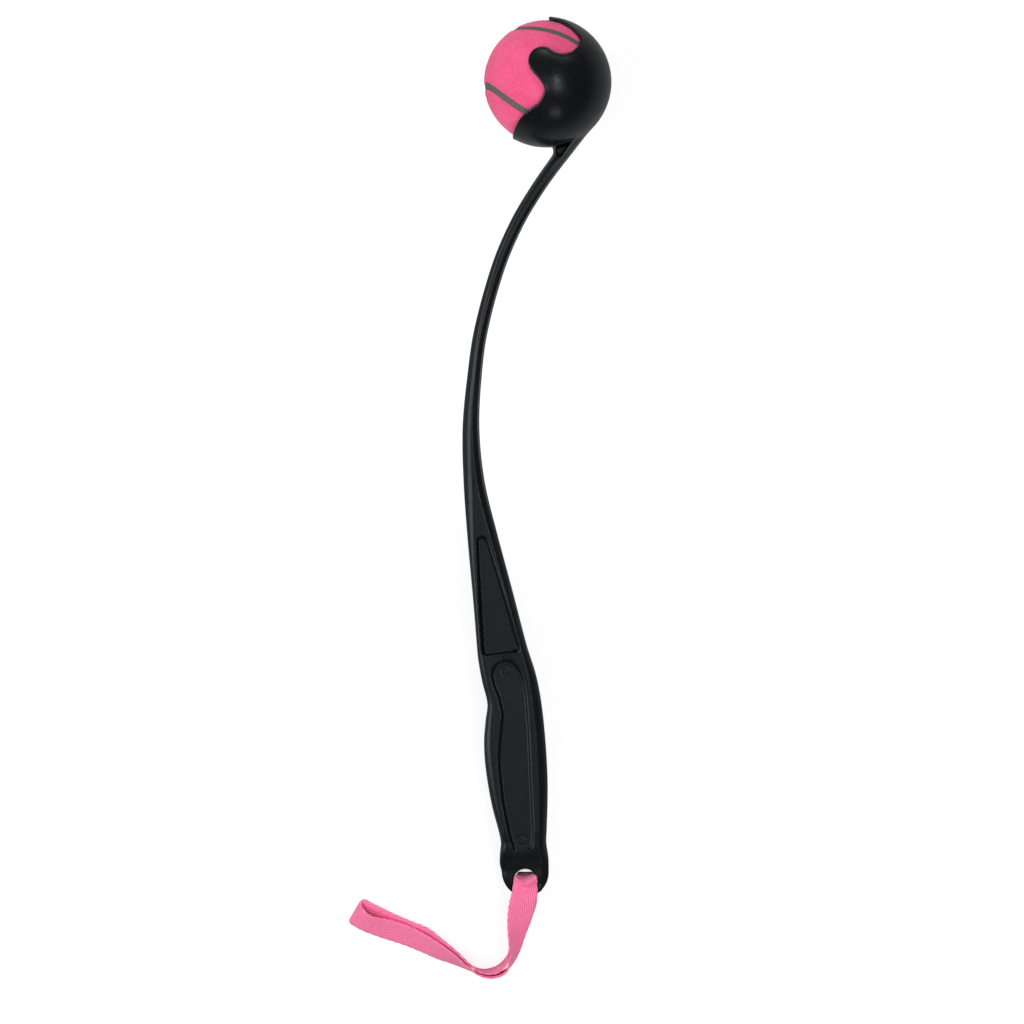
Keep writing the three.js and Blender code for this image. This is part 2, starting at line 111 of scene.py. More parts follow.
# The moulding's mesh: its cell, the blocks it is worked out in, round the cup and down the arm, and
# the shares of the reach where the grip, the pockets and the eye come into a block
VOXEL = 0.3
BAND = 2
EASING_ROUNDS = 3
CUP_BLOCK_REACH = 37
CUP_BLOCK_LOW = -62
CUP_BLOCK_DEPTH = 36
ARM_BLOCK_LENGTH = 20
ARM_BLOCK_MARGIN = 6
GRIP_BLOCK_MARGIN = 4
END_MARGIN = 2
FAR = 9
FIRST_SHARE = 0.05
GRIP_SHARE = 0.4
POCKETS_SHARE = 0.55
EYE_SHARE = 0.95

# The map of the cup's rim: its cells on a side, and the points of the rim's curve for each stop
MAP_CELLS = 320
RIM_STEPS = 5

# The ball's felt and the seam between its panels
FELT_CELLS = 150
FELT_EDGE = 0.7
FELT_TUCK = 0.1
FELT_DROP = 0.69
FELT_LEAST_GAP = 0.35
FELT_WELD = 0.02
NAP = 0.09
NAP_SEED = 5
NAP_WAVES = 14
NAP_FINENESS = (70, 190)
SEAM_STEPS = 360
SEAM_COLUMNS = 7
SEAM_WIDTH = 4
SEAM_RECESS = 0.35
SEAM_CROWN = 0.25
SEAM_OVERLAP = 0.3
SEAM_WAIST_SHARE = 0.24
BALL_TURN = np.array(Euler((-92.1 * DEGREE, -63 * DEGREE, -34.3 * DEGREE), "ZYX").to_matrix())

# The wrist tape and its weave
TAPE_WIDTH = 14
TAPE_THICKNESS = 1.3
TAPE_EDGE_THINNING = 0.75
TAPE_SCALLOP = 0.11
TAPE_SCALLOP_PITCH = 3.9
TAPE_CURL_BALANCE = 0.4
TAPE_LEAST_HEIGHT = 0.05
TAPE_STEPS = 900
TAPE_COLUMNS = 24
WEAVE_SCALE = 0.1
RIB_SLOPE = math.radians(17)
RIB_PITCH = 1.25
THREAD_PITCH = 0.9

# The sewn lap: where it starts and ends in tape widths along Y from the eye, then its shares of
# the tape's width and thickness, and the share of it that the stitches cover
LAP_START = -1.6
LAP_END = -0.72
LAP_WIDTH_SHARE = 0.98
LAP_REST_SHARE = 0.45
LAP_THICKNESS_SHARE = 0.75
LAP_TOP_SHARE = 1.22
LAP_SEWN = 0.72

# The stitches: how many on a side and on a diagonal, the rings of each one as shares of its length
# with their radii, the sides of a ring, and the rows of tape taken as its width
STITCHES_ON_SIDE = 7
STITCHES_ON_DIAGONAL = 9
STITCH_RINGS = [(0.08, 0.1), (0.3, 0.24), (0.7, 0.24), (0.92, 0.1)]
STITCH_SIDES = 6
STITCH_ROWS = 60

# The table and the room, in metres, and the photograph's frame on the floor: its width and middle
TABLE_REACH = 3
TABLE_CELLS = 24
TABLE_TOP = -0.0002
ROOM_LEVEL = 0.12
CAMERA_HEIGHT = 2
FRAME_WIDTH = 0.5284
FRAME_MIDDLE = (0.016586, -0.007759)

# Lamps: a broad softbox on the left, one beyond the cup, a fill at the grip's end that gloss doesn't
# mirror, a panel overhead, a strip on the right and a small window low at the grip's end. Each has
# its name, its place and its size in metres, its power in watts and whether gloss mirrors it.
LAMPS = [
    ("softbox_left", (-1.02, 0.1, 0.8), (1.1, 1.35), 15, True),
    ("softbox_far", (0.3, 1.3, 0.55), (1.1, 0.6), 7, True),
    ("fill_near", (0.75, -1.1, 0.95), (1.5, 1.2), 13, False),
    ("panel_overhead", (0, 0, 2.5), (1, 1.2), 2.8, True),
    ("strip_right", (0.75, 0.1, 2), (0.9, 0.12), 6, True),
    ("window_low", (0.45, -1.1, 0.9), (0.2, 0.3), 1.2, True),
]

# The hollow between the web and the arm, in the arm's plane
RECESS_CORNERS = [(5.4, -32.3), (13.3, -30), (7.8, -37.9), (5.5, -37.5)]

# The rim of the cup: degrees round the mouth axis, degrees down from it
RIM_DEGREES = [
    (0, 74), (6.5, 74.6), (10, 78), (10, 84), (14.5, 90.2), (19.5, 97.3), (26, 104.6), (33, 107),
    (41, 106.3), (50, 102.4), (56, 95.6), (57.5, 88.5), (55.2, 81.6), (55, 75.8), (58.5, 70.2),
    (64.5, 67.2), (73, 67.6), (80.5, 73), (86.2, 82.5), (91.5, 88.6), (98, 90.1), (107, 88.2),
    (117, 82), (130, 77.3), (145, 75.9), (162, 76.6), (180, 77.6),
]

# The moulding's middle line and outline, as shares of the reach, the bow and the swell
MIDDLE_SHARES = [
    (0.055, -0.47), (0.096, -0.178), (0.134, 0.102), (0.178, 0.38), (0.233, 0.63),
    (0.314, 0.865), (0.376, 0.957), (0.44, 1), (0.508, 0.957), (0.577, 0.845),
    (0.655, 0.7), (0.718, 0.587), (0.781, 0.493), (0.837, 0.427), (0.908, 0.353),
    (0.971, 0.292), (1, 0.277), (1.05, 0.277),
]
BOSS_SWELL = (BOSS_RADIUS - ARM_WIDTH / 2) / (GRIP_WIDTH / 2 - ARM_WIDTH / 2)
LEFT_SWELL_SHARES = [
    (0.05, 0), (0.35, 0.01), (0.44, 0.07), (0.508, 0.16), (0.577, 0.35), (0.655, 0.57),
    (0.718, 0.755), (0.738, 0.76), (0.756, 0.73), (0.784, 0.64), (0.806, 0.8), (0.833, 0.96),
    (0.865, 1), (0.91, 0.9), (0.951, 0.685), (0.962, 0.665), (0.974, 0.73), (0.988, 0.77), (1, BOSS_SWELL),
]
RIGHT_SWELL_SHARES = [
    (0.05, 0.14), (0.078, 0.07), (0.11, 0), (0.2, 0), (0.35, 0.01), (0.44, 0.07), (0.508, 0.16),
    (0.577, 0.35), (0.655, 0.57), (0.718, 0.75), (0.756, 0.955), (0.79, 1.03), (0.837, 1.03),
    (0.882, 0.97), (0.91, 0.89), (0.951, 0.72), (0.966, 0.66), (0.985, 0.705), (1, BOSS_SWELL),
]

# How its depth, the rise beside the cup, the strip and the bead change down the arm
DEPTH_SWELL_SHARES = [(0.05, 0), (0.4, 0), (0.52, 0.3), (0.66, 0.85), (0.78, 1), (1.05, 1)]
ARM_RISE_SHARES = [(0.05, 1), (0.08, 0.85), (0.115, 0.3), (0.16, 0), (1.05, 0)]
STRIP_SHARES = [(0.05, 1), (0.5, 1), (0.6, 0), (1.05, 0)]
BEAD_SHARES = [
    (0.05, 1), (0.3, 0.9), (0.42, 0.3), (0.56, 0.1), (0.66, 0.25), (0.94, 0.25), (1.05, 0.5),
]

# The fall from the grip to the boss, and how each flank and side is shaped down the arm
BOSS_FALL_SHARES = [(0.948, 0), (0.96, 0.08), (0.974, 0.17), (0.985, 0.65), (0.994, 0.95), (1, 1)]
LEFT_FLANK_SHARES = [
    (0.05, 0.15), (0.12, 0.2), (0.18, 0.5), (0.25, 0.65), (0.32, 0.8), (0.44, 0.92), (0.508, 0.84),
    (0.577, 0.5), (0.62, 0.3), (0.655, 0.24), (0.72, 0.25), (0.8, 0.3), (0.88, 0.3), (0.95, 0.26),
    (1.05, 0.34),
]
RIGHT_FLANK_SHARES = [
    (0.05, 0.96), (0.3, 0.95), (0.44, 0.86), (0.508, 0.72), (0.577, 0.5), (0.655, 0.33), (0.72, 0.27),
    (0.8, 0.29), (0.9, 0.34), (0.96, 0.35), (1.05, 0.35),
]
LEFT_SIDE_SHARES = [
    (0.05, 0.8), (0.13, 0.75), (0.2, 0.5), (0.44, 0.25), (0.6, 0.5), (0.7, 0.58), (1.05, 0.5),
]
RIGHT_SIDE_SHARES = [(0.05, 0.3), (0.5, 0.3), (0.62, 0.5), (1.05, 0.5)]
LEFT_POWER_SHARES = [(0.05, 1.35), (0.5, 1.35), (0.6, 1.9), (1.05, 1.9)]

# The pockets' corners: a share of the reach, then shares of half the grip's width to the right
UPPER_POCKET_SHARES = [(0.574, -0.22), (0.7226, -0.65), (0.7235, 0.58), (0.574, 0.12)]
LOWER_POCKET_SHARES = [
    (0.7303, 0.03), (0.7327, -0.22), (0.739, -0.41), (0.7472, -0.48), (0.7612, -0.455),
    (0.7763, -0.34), (0.793, -0.3), (0.8016, -0.3), (0.8193, -0.405), (0.837, -0.5),
    (0.8572, -0.57), (0.8825, -0.578), (0.9104, -0.57), (0.951, -0.45), (0.9736, -0.35),
    (0.9717, 0.305), (0.951, 0.365), (0.8825, 0.448), (0.8219, 0.54), (0.7814, 0.58),
    (0.76, 0.565), (0.7472, 0.5), (0.7364, 0.365), (0.7318, 0.22),
]

# The wrist tape's stops in tape widths from the eye's centre: x, y and lift off the floor, then
# the heading and the lean of its upper edge in degrees, its share of the full width, and how far
# its edges curl back from its middle
TAPE_STOPS = [
    (0.02, 0.26, 0.26, 180, 0, 0.58, 0.02), (0.02, 0.2, 0.5, 180, 0, 0.64, 0.05),
    (0.01, 0.11, 0.84, 180, 0, 0.68, 0.12), (0.01, 0.03, 1.11, 180, 0, 0.76, 0.2),
    (0.01, -0.04, 1.22, 180, 0, 0.85, 0.27), (0.01, -0.11, 1.12, 180, 0, 0.87, 0.2),
    (0, -0.15, 1, 180, 0, 0.88, 0.1), (-0.02, -0.5, 0.99, 178, 2, 0.95, 0.02),
    (-0.1, -0.85, 0.84, 174, 14, 1, 0), (-0.22, -1.4, 0.59, 166, 28, 1, 0),
    (-0.33, -1.95, 0.34, 158, 46, 1, 0), (-0.4, -2.5, 0.2, 150, 62, 1, 0),
    (-0.51, -3, 0.1, 138, 80, 1, 0), (-0.75, -3.39, 0.02, 118, 95, 1, 0),
    (-1.2, -3.56, 0.01, 93, 96, 1, 0), (-1.64, -3.49, 0.01, 62, 95, 1, 0),
    (-2.1, -3.26, 0.01, 58, 86, 1, 0), (-2.66, -2.92, 0.01, 62, 70, 1, 0),
    (-3.14, -2.67, 0.01, 63, 58, 1, 0), (-3.7, -2.36, 0.01, 65, 50, 1, 0),
    (-4.4, -2.04, 0.01, 69, 44, 1, 0), (-5.15, -1.8, 0.01, 70, 44, 1, 0),
    (-5.75, -1.63, 0.01, 63, 51, 1, 0), (-6.1, -1.42, 0.01, 58, 46, 1, 0),
    (-6.27, -1.2, 0.01, 59, 33, 1, 0), (-6.13, -1.09, 0.01, 61, 30, 1, 0),
    (-5.79, -1.23, 0.01, 65, 36, 1, 0), (-5.12, -1.55, 0.01, 68, 38, 1, 0),
    (-4.37, -1.86, 0.01, 68, 41, 1, 0), (-3.7, -2.07, 0.01, 66, 51, 1, 0),
    (-3.2, -2.38, 0.01, 63, 60, 1, 0), (-2.62, -2.73, 0.01, 62, 74, 1, 0),
    (-2.07, -3.13, 0.01, 54, 87, 1, 0), (-1.62, -3.36, 0.01, 72, 97, 1, 0),
    (-1.2, -3.36, 0.01, 92, 104, 1, 0), (-0.9, -3.22, 0.01, 112, 104, 1, 0),
    (-0.7, -2.96, 0.01, 130, 97, 1, 0), (-0.54, -2.57, 0.01, 148, 84, 1, 0),
    (-0.39, -2.15, 0.01, 156, 66, 1, 0), (-0.29, -1.75, 0.01, 162, 50, 1, 0),
    (-0.2, -1.3, 0.01, 168, 32, 1, 0), (-0.08, -0.9, 0.01, 174, 12, 0.98, 0),
    (0, -0.5, 0.01, 180, 0, 0.9, 0), (0, -0.2, 0.02, 180, 0, 0.78, 0),
    (0.01, 0.06, 0.04, 180, 0, 0.66, 0), (0.02, 0.21, 0.11, 180, 0, 0.54, 0.02),
]


def follow(table, place):
    """A smooth curve through a table of places and values, read at an array of places."""
    keys = np.array([row[0] for row in table], float)
    values = np.array([row[1] for row in table], float)
    held = np.clip(place, keys[0], keys[-1])
    at = np.clip(np.searchsorted(keys, held, side="left") - 1, 0, len(keys) - 2)
    before = np.maximum(at - 1, 0)
    after = np.minimum(at + 2, len(keys) - 1)
    span = keys[at + 1] - keys[at]
    run = (held - keys[at]) / span
    start = (values[at + 1] - values[before]) / (keys[at + 1] - keys[before]) * span
    end = (values[after] - values[at]) / (keys[after] - keys[at]) * span
    return (values[at] * (1 + 2 * run) * (1 - run) ** 2 + start * run * (1 - run) ** 2
            + values[at + 1] * run ** 2 * (3 - 2 * run) - end * run ** 2 * (1 - run))


def middle_at(share):
    """The arm's middle line in its own plane, at an array of shares of the reach."""
    share = np.asarray(share, float)
    return np.stack([-BOW * follow(MIDDLE_SHARES, share), -REACH * share], -1)


def across_at(share):
    """The way across the arm to its right, at an array of shares of the reach."""
    step = 0.004
    along = middle_at(np.asarray(share) + step) - middle_at(np.asarray(share) - step)
    along /= np.linalg.norm(along, axis=-1, keepdims=True)
    return np.stack([-along[..., 1], along[..., 0]], -1)


def soft_least(a, b, blend):
    """The lesser of two distances, with the corner between them filled in over a blend."""
    mix = np.maximum(blend - np.abs(a - b), 0) / blend
    return np.minimum(a, b) - mix * mix * blend / 4


def soft_most(a, b, blend):
    """The greater of two distances, with the corner between them rounded over a blend."""
    return -soft_least(-a, -b, blend)


def outline_distance(corners, x, y):
    """Signed distance in the plane from a closed outline, less than zero inside."""
    inside = np.zeros(x.shape, bool)
    nearest = np.full(x.shape, np.inf)
    for start, end in zip(corners, np.roll(corners, -1, 0)):
        way = end - start
        run = ((x - start[0]) * way[0] + (y - start[1]) * way[1]) / (way @ way)
        run = np.clip(run, 0, 1)
        gap = np.hypot(x - start[0] - run * way[0], y - start[1] - run * way[1])
        nearest = np.minimum(nearest, gap)
        crosses = (start[1] > y) != (end[1] > y)
        rise = way[1] if way[1] else 1
        inside ^= crosses & (x < start[0] + (y - start[1]) / rise * way[0])
    return np.where(inside, -nearest, nearest)


def closed_curve(stops, steps):
    """An even, smooth, closed curve through rows of numbers."""
    stops = np.asarray(stops, float)
    place = np.linspace(0, len(stops), steps, endpoint=False)
    at = place.astype(int)
    run = (place - at)[:, None]
    a, b, c, d = (stops[(at + shift) % len(stops)] for shift in (-1, 0, 1, 2))
    return 0.5 * (2 * b + (c - a) * run + (2 * a - 5 * b + 4 * c - d) * run ** 2
                  + (3 * b - a - 3 * c + d) * run ** 3)


def pocket_outline(shares, rounding):
    """A pocket's corners in the arm's plane, each one rounded."""
    places = np.array([middle_at(s) + across_at(s) * out * GRIP_WIDTH / 2 for s, out in shares])
    points = []
    for before, corner, after in zip(np.roll(places, 1, 0), places, np.roll(places, -1, 0)):
        ends = []
        for other in (before, after):
            length = np.linalg.norm(other - corner)
            ends.append(corner + (other - corner) / length * min(rounding, length / 2))
        for run in (0, 0.25, 0.5, 0.75):
            points.append((1 - run) ** 2 * ends[0] + 2 * run * (1 - run) * corner + run ** 2 * ends[1])
    return np.array(points)


def web_outline():
    """The web's corners in the arm's plane: up the arm, then down its own free edge."""
    high = middle_at(MIDDLE_SHARES[0][0])
    low = middle_at(MIDDLE_SHARES[1][0]) - across_at(MIDDLE_SHARES[1][0]) * ARM_WIDTH / 4
    edge = -math.sqrt(CUP_OUTER ** 2 - WEB_EDGE ** 2)
    return np.array([high, (WEB_EDGE, edge + WEB_INTO_CUP), (WEB_EDGE, edge - WEB_BELOW_CUP), low])


def rim_map():
    """The signed distance from the rim over the ball, on a flat map round the mouth axis."""
    stops = RIM_DEGREES + [(-around, down) for around, down in RIM_DEGREES[-2:0:-1]]
    flat = np.array([[down * math.cos(around * DEGREE), down * math.sin(around * DEGREE)]
                     for around, down in stops])
    curve = closed_curve(flat, len(flat) * RIM_STEPS)
    lines = np.linspace(-180, 180, MAP_CELLS + 1)
    x, y = np.meshgrid(lines, lines, indexing="ij")
    flat_gap = outline_distance(curve, x, y)
    down = np.hypot(x, y) * DEGREE
    turn = np.arctan2(y, x)
    ways = np.stack([np.cos(down), np.sin(down) * np.cos(turn), np.sin(down) * np.sin(turn)], -1)
    rim_down = np.hypot(curve[:, 0], curve[:, 1]) * DEGREE
    rim_turn = np.arctan2(curve[:, 1], curve[:, 0])
    rim = np.stack([np.cos(rim_down), np.sin(rim_down) * np.cos(rim_turn),
                    np.sin(rim_down) * np.sin(rim_turn)], -1)
    nearest = np.full(x.shape, np.inf)
    for point, following in zip(rim, np.roll(rim, -1, 0)):
        way = following - point
        run = np.clip(((ways - point) @ way) / (way @ way), 0, 1)
        foot = point + run[..., None] * way
        nearest = np.minimum(nearest, np.linalg.norm(ways - foot, axis=-1))
    return np.where(flat_gap < 0, -nearest, nearest) * CUP_OUTER


def rim_distance(along, up, side):
    """The distance past the rim into the cup's wall, over 0 on the wall, read from the map."""
    reach = np.sqrt(along * along + up * up + side * side) + 1e-6
    down = np.arccos(np.clip(along / reach, -1, 1)) / DEGREE
    radial = np.hypot(up, side) + 1e-6
    spot = [(down * part / radial + 180) / 360 * MAP_CELLS for part in (up, side)]
    spot = [np.clip(part, 0, MAP_CELLS - 0.001) for part in spot]
    low = [s.astype(int) for s in spot]
    rest = [s - l for s, l in zip(spot, low)]
    corner = [RIM_MAP[low[0] + i, low[1] + j] for i in (0, 1) for j in (0, 1)]
    near = corner[0] * (1 - rest[1]) + corner[1] * rest[1]
    far = corner[2] * (1 - rest[1]) + corner[3] * rest[1]
    return near * (1 - rest[0]) + far * rest[0]


def cup_distances(x, y, z):
    """Distances from the cup's wall and from the hollow that the ball sits in."""
    along = x * MOUTH_AXIS[0] + y * MOUTH_AXIS[1]
    up = x * MOUTH_UP[0] + y * MOUTH_UP[1]
    z = np.broadcast_to(z, along.shape)
    reach = np.sqrt(along * along + up * up + z * z)
    hollow = reach - CUP_INNER
    rim = rim_distance(along, up, z)
    lip = CUP_LIP * np.exp(-((rim - CUP_LIP_FROM_RIM) / CUP_LIP_WIDTH) ** 2)
    wall = np.maximum(reach - CUP_OUTER - lip, -hollow)
    near = np.abs(wall) < RIM_REACH
    wall = np.where(near, soft_most(wall, -rim, RIM_BLEND), wall)
    return wall, hollow


def section_distance(x, y, z):
    """Distance from the arm and grip, from their sections, for planes x, y and heights z."""
    share = -y / REACH
    for _ in range(2):
        gap = np.stack([x, y], -1) - middle_at(share)
        across = across_at(share)
        along = gap[..., 0] * across[..., 1] - gap[..., 1] * across[..., 0]
        share = np.minimum(share + along / REACH, 1)
    share = np.clip(share, FIRST_SHARE, 1)
    gap = np.stack([x, y], -1) - middle_at(share)
    out = (gap * across_at(share)).sum(-1)
    past = np.maximum(-REACH - y, 0) / BOSS_LENGTH * BOSS_RADIUS
    right = out > 0
    swell = np.where(right, follow(RIGHT_SWELL_SHARES, share), follow(LEFT_SWELL_SHARES, share))
    width = ARM_WIDTH / 2 + (GRIP_WIDTH - ARM_WIDTH) / 2 * swell
    flank = width * np.where(right, follow(RIGHT_FLANK_SHARES, share), follow(LEFT_FLANK_SHARES, share))
    depth = ARM_DEPTH / 2 + (GRIP_DEPTH - ARM_DEPTH) / 2 * follow(DEPTH_SWELL_SHARES, share)
    depth += (BOSS_DEPTH / 2 - depth) * follow(BOSS_FALL_SHARES, share)
    depth += ARM_RISE * follow(ARM_RISE_SHARES, share)
    crest = np.where(out > -1, out - width + flank, FAR)
    bead = BEAD * follow(BEAD_SHARES, share) * np.exp(-(crest / BEAD_WIDTH) ** 2)
    side = depth * np.where(right, follow(RIGHT_SIDE_SHARES, share), follow(LEFT_SIDE_SHARES, share))
    power = np.where(right, RIGHT_FLANK_POWER, follow(LEFT_POWER_SHARES, share))
    out = np.hypot(out, past)
    out, width, flank, depth, side, power, bead = (
        part[..., None] for part in (out, width, flank, depth, side, power, bead))
    start = (y + REACH * MIDDLE_SHARES[0][0])[..., None]
    high = np.abs(z)
    u = np.maximum((out - width + flank) / flank, 1e-4)
    v = np.maximum((high - side) / (depth - side), 1e-4)
    size = (u ** power + v ** power) ** (1 / power)
    slope = np.hypot((u / size) ** (power - 1) / flank, (v / size) ** (power - 1) / (depth - side))
    curved = (size - 1) / slope
    # On the arm's right the flank is a dark slope above a steep, even strip
    foot = side * STRIP_FOOT
    steep = (out - width) * math.sin(STRIP_TILT) + (high - foot) * math.cos(STRIP_TILT)
    fall = np.maximum(depth - foot - STRIP * math.tan(STRIP_TILT), FINE_BLEND)
    wide = np.maximum(flank - STRIP, FINE_BLEND)
    gentle = ((out - width + flank) * fall + (high - depth) * wide) / np.hypot(fall, wide)
    strip = follow(STRIP_SHARES, share)[..., None] * right[..., None]
    curved += (soft_most(steep, gentle, FINE_BLEND) - curved) * strip
    block = soft_most(out - width, high - depth, CREST_BLEND)
    return np.maximum(soft_most(curved, block, CORNER_BLEND) - bead, start)


def pocket_distance(plane_gap, z, floor, marks=0):
    """Distance from a pocket's hollow, whose walls slope in towards its floor."""
    high = np.abs(z)
    lean = POCKET_DRAFT * (1 - (high - floor) / POCKET_DEPTH)
    wall = (plane_gap[..., None] + lean) * POCKET_DEPTH / math.hypot(POCKET_DEPTH, POCKET_DRAFT)
    return soft_most(wall, floor + marks - high, CORNER_BLEND)


def mark_relief(x, y):
    """How far the ejector marks' fine rings sink the lower pocket's floor, as heights less than zero."""
    relief = 0
    for share, out in MARK_PLACES:
        centre = middle_at(share) + across_at(share) * out
        ring = np.abs(np.hypot(x - centre[0], y - centre[1]) - MARK_RADIUS)
        relief = relief - MARK_DEPTH * np.clip(1 - ring / MARK_LINE, 0, 1)[..., None]
    return relief


def with_cup_and_web(body, x, y, z):
    """The arm's distances joined with those of the cup and of the web between the two."""
    wall, hollow = cup_distances(x[..., None] + 0 * z, y[..., None] + 0 * z, z)
    free = outline_distance(web_outline(), x, y)[..., None]
    recess = outline_distance(np.array(RECESS_CORNERS), x, y)[..., None]
    rim = BEAD * np.exp(-((recess - BEAD_WIDTH) / BEAD_WIDTH) ** 2)
    web = soft_most(free, np.abs(z) - ARM_DEPTH / 2 - ARM_RISE - rim, CORNER_BLEND)
    recess = soft_most(recess, WEB_FLOOR / 2 - np.abs(z), CORNER_BLEND)
    body = soft_most(soft_least(body, web, WEB_BLEND), -recess, EDGE_BLEND)
    reach = np.sqrt(x[..., None] ** 2 + y[..., None] ** 2 + z * z)
    body = soft_most(body, CUP_INNER + CUP_COVER - reach, EDGE_BLEND)
    body = soft_least(body, wall, CUP_BLEND)
    return soft_most(body, -hollow, CORNER_BLEND)


def moulding_distance(xs, ys, zs, with_cup):
    """Distance from the whole moulding on a block of points, less than zero inside."""
    x, y = np.meshgrid(xs, ys, indexing="ij")
    z = zs[None, None, :]
    body = section_distance(x, y, z)
    if with_cup:
        body = with_cup_and_web(body, x, y, z)
    last_share = -ys.min() / REACH
    if last_share > POCKETS_SHARE:
        swell = follow(DEPTH_SWELL_SHARES, UPPER_POCKET_SHARES[0][0])
        upper_floor = 0.5 * (ARM_DEPTH + (GRIP_DEPTH - ARM_DEPTH) * swell) - POCKET_DEPTH
        lower_floor = GRIP_DEPTH / 2 - POCKET_DEPTH
        upper = outline_distance(pocket_outline(UPPER_POCKET_SHARES, UPPER_CORNER), x, y)
        lower = outline_distance(pocket_outline(LOWER_POCKET_SHARES, LOWER_CORNER), x, y)
        body = soft_most(body, -pocket_distance(upper, z, upper_floor), RIM_BLEND)
        body = soft_most(body, -pocket_distance(lower, z, lower_floor, mark_relief(x, y)), RIM_BLEND)
    if last_share > EYE_SHARE:
        eye = middle_at(1) - (0, EYE_DROP)
        hole = EYE_RADIUS - np.hypot(x - eye[0], y - eye[1])[..., None]
        body = soft_most(body, hole, EDGE_BLEND)
    return body


def to_row(points):
    """Points of the moulding's own frame, in millimetres, as points of the row frame in metres."""
    matrix = np.array(own_frame)
    return np.asarray(points) @ matrix[:3, :3].T + matrix[:3, 3]


def new_mesh(name, points, faces, material, body):
    """A smoothly shaded piece that rides on a body, from points of the row frame."""
    mesh = bpy.data.meshes.new(name)
    mesh.from_pydata([tuple(point) for point in points], [], [tuple(face) for face in faces])
    mesh.polygons.foreach_set("use_smooth", [True] * len(mesh.polygons))
    mesh.materials.append(material)
    mesh.update()
    piece = bpy.data.objects.new(name, mesh)
    bpy.context.scene.collection.objects.link(piece)
    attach(piece, body)
    return piece


def moulding_blocks():
    """The blocks that hold the moulding: each one's width, length and depth, and if the cup is in it."""
    end = -REACH - BOSS_LENGTH - END_MARGIN
    cup_lines = np.array([-CUP_BLOCK_REACH, CUP_BLOCK_REACH]), np.array([CUP_BLOCK_LOW, CUP_BLOCK_REACH])
    blocks = [(*cup_lines, CUP_BLOCK_DEPTH, True)]
    for top in np.arange(CUP_BLOCK_LOW, end, -ARM_BLOCK_LENGTH):
        shares = -np.linspace(top, top - ARM_BLOCK_LENGTH, 5) / REACH
        middle = middle_at(np.clip(shares, FIRST_SHARE, 1))[:, 0]
        reach = ARM_WIDTH + ARM_BLOCK_MARGIN
        if top < -GRIP_SHARE * REACH:
            reach = GRIP_WIDTH / 2 + GRIP_BLOCK_MARGIN
        wide = np.array([middle.min() - reach, middle.max() + reach])
        long = np.array([max(top - ARM_BLOCK_LENGTH, end), top])
        blocks.append((wide, long, GRIP_DEPTH / 2 + END_MARGIN, False))
    return blocks


def moulding_mesh():
    """Points and faces of the moulding, read from its distances block by block."""
    grid = openvdb.FloatGrid(BAND)
    for wide, long, deep, with_cup in moulding_blocks():
        lines = [np.arange(math.floor(low / VOXEL), math.ceil(high / VOXEL) + 1)
                 for low, high in (wide, long, (-deep, deep))]
        block = moulding_distance(*(line * VOXEL for line in lines), with_cup)
        block = np.clip(block / VOXEL, -BAND, BAND)
        grid.copyFromArray(block.astype(np.float32), ijk=tuple(int(line[0]) for line in lines))
    points, faces = grid.convertToQuads(0)
    return to_row(eased(points.astype(float) * VOXEL, faces)), faces[:, ::-1]


def eased(points, faces):
    """The points moved halfway to the middle of their neighbours, so that creases run even."""
    starts = faces.ravel()
    ends = np.roll(faces, -1, 1).ravel()
    count = np.bincount(starts, minlength=len(points))[:, None]
    for _ in range(EASING_ROUNDS):
        sums = [np.bincount(starts, points[ends, axis], len(points)) for axis in range(3)]
        points = (points + np.stack(sums, -1) / count) / 2
    return points


def felt_ways():
    """Directions and faces of a fine ball made of six curved squares."""
    count = FELT_CELLS
    line = np.tan(np.linspace(-1, 1, count) * math.pi / 4)
    u, v = np.meshgrid(line, line, indexing="ij")
    one = np.ones_like(u)
    ways, faces = [], []
    at = np.arange(count * count).reshape(count, count)
    quads = np.stack([at[:-1, :-1], at[1:, :-1], at[1:, 1:], at[:-1, 1:]], -1).reshape(-1, 4)
    for axis in range(3):
        for sign in (1, -1):
            square = np.roll(np.stack([u, v * sign, one * sign], -1), axis + 1, -1).reshape(-1, 3)
            ways.append(square / np.linalg.norm(square, axis=1, keepdims=True))
            faces.append(quads + len(faces) * count * count)
    return np.concatenate(ways), np.concatenate(faces)


def seam_line():
    """The tennis seam as directions from the ball's centre, turned as the ball lies in the cup."""
    t = np.linspace(0, 2 * math.pi, SEAM_STEPS, endpoint=False)
    large = 1 - SEAM_WAIST_SHARE
    line = np.stack([large * np.cos(t) + SEAM_WAIST_SHARE * np.cos(3 * t),
                     large * np.sin(t) - SEAM_WAIST_SHARE * np.sin(3 * t),
                     2 * math.sqrt(large * SEAM_WAIST_SHARE) * np.sin(2 * t)], -1)
    return line @ BALL_TURN.T


def seam_distance(ways, line):
    """Distance over the ball from each direction to the seam, over 0 on one side of it."""
    gaps = np.full(len(ways), np.inf)
    sides = np.zeros(len(ways))
    for start, end in zip(line, np.roll(line, -1, 0)):
        way = end - start
        run = np.clip(((ways - start) @ way) / (way @ way), 0, 1)
        foot = start + run[:, None] * way
        gap = np.linalg.norm(ways - foot, axis=1)
        nearer = gap < gaps
        side = (ways - foot) @ np.cross(start, end)
        gaps = np.where(nearer, gap, gaps)
        sides = np.where(nearer, side, sides)
    return np.copysign(gaps, sides) * BALL_RADIUS


def nap(ways):
    """A soft unevenness of the felt, a sum of waves that run in many directions."""
    chance = np.random.default_rng(NAP_SEED)
    waves = chance.normal(0, 1, (3, NAP_WAVES))
    waves *= chance.uniform(*NAP_FINENESS, NAP_WAVES) / np.linalg.norm(waves, axis=0)
    height = sum(np.sin(ways @ wave + number) for number, wave in enumerate(waves.T))
    return NAP * height / math.sqrt(NAP_WAVES)


